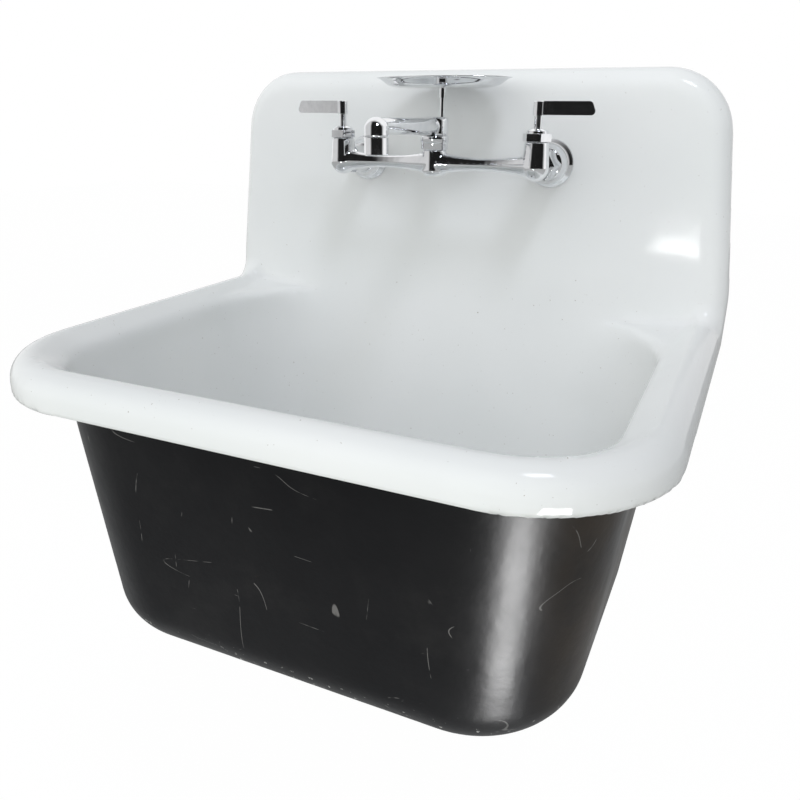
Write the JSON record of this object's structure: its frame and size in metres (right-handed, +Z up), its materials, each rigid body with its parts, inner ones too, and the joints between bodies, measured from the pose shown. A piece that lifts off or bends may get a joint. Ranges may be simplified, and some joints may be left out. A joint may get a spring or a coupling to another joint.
{
  "type": "cast iron utility sink",
  "caption": "Wall-hung enamelled cast iron utility sink with a high back, rolled rim, deep bowl, bridge faucet with swivel spout and lever handles, and soap dish.",
  "frame": {"origin": "on the wall plane and the centre line, at the height of the rolled rim's crest", "axes": "+X to the user's right, +Y into the wall, +Z up"},
  "size_m": [0.567, 0.4295, 0.577],
  "materials": {
    "enamelled_iron": "gloss white enamel, outside of the bowl painted black",
    "hanger_steel": "black paint",
    "chrome": "polished chrome on brass",
    "brass": "as machined",
    "strainer_steel": "polished stainless steel",
    "rubber": "matte",
    "fibre": "pressed fibre"
  },
  "bodies": {
    "sink": {"sink_casting": "enamelled_iron", "wall_hanger": "hanger_steel", "faucet_bridge": "chrome", "bonnet_nut_left": "chrome", "supply_shank_left": "brass", "union_gasket_left": "rubber", "union_nut_left": "chrome", "wall_flange_left": "chrome", "shank_washer_left": "rubber", "shank_locknut_left": "brass", "valve_seat_left": "brass", "bonnet_nut_right": "chrome", "supply_shank_right": "brass", "union_gasket_right": "rubber", "union_nut_right": "chrome", "wall_flange_right": "chrome", "shank_washer_right": "rubber", "shank_locknut_right": "brass", "valve_seat_right": "brass", "spout_nut": "chrome", "dish_stud": "chrome", "dish_sleeve": "chrome", "soap_dish": "chrome", "dish_screw": "chrome", "strainer_cup": "strainer_steel", "strainer_grid": "strainer_steel", "grid_screw": "strainer_steel", "waste_gasket": "rubber", "friction_washer": "fibre", "waste_locknut": "brass", "tail_washer": "rubber", "tailpiece": "brass", "tail_nut": "brass"},
    "left_valve": {"valve_stem_left": "brass", "seat_washer_left": "rubber", "lever_left": "chrome", "lever_screw_left": "chrome"},
    "right_valve": {"valve_stem_right": "brass", "seat_washer_right": "rubber", "lever_right": "chrome", "lever_screw_right": "chrome"},
    "swivel_spout": {"spout": "chrome", "spout_ring": "brass", "spout_oring": "rubber", "outlet_ring": "chrome"}
  },
  "joints": [
    {"name": "left_lever_turn", "type": "hinge", "parent": "sink", "child": "left_valve", "pos_m": [-0.1016, -0.082, 0.16], "axis": [0, 0, 1], "range_deg": [0, 90]},
    {"name": "right_lever_turn", "type": "hinge", "parent": "sink", "child": "right_valve", "pos_m": [0.1016, -0.082, 0.16], "axis": [0, 0, 1], "range_deg": [-90, 0]},
    {"name": "spout_swing", "type": "hinge", "parent": "sink", "child": "swivel_spout", "pos_m": [0, -0.082, 0.16], "axis": [0, 0, 1], "range_deg": [-75, 75]}
  ]
}
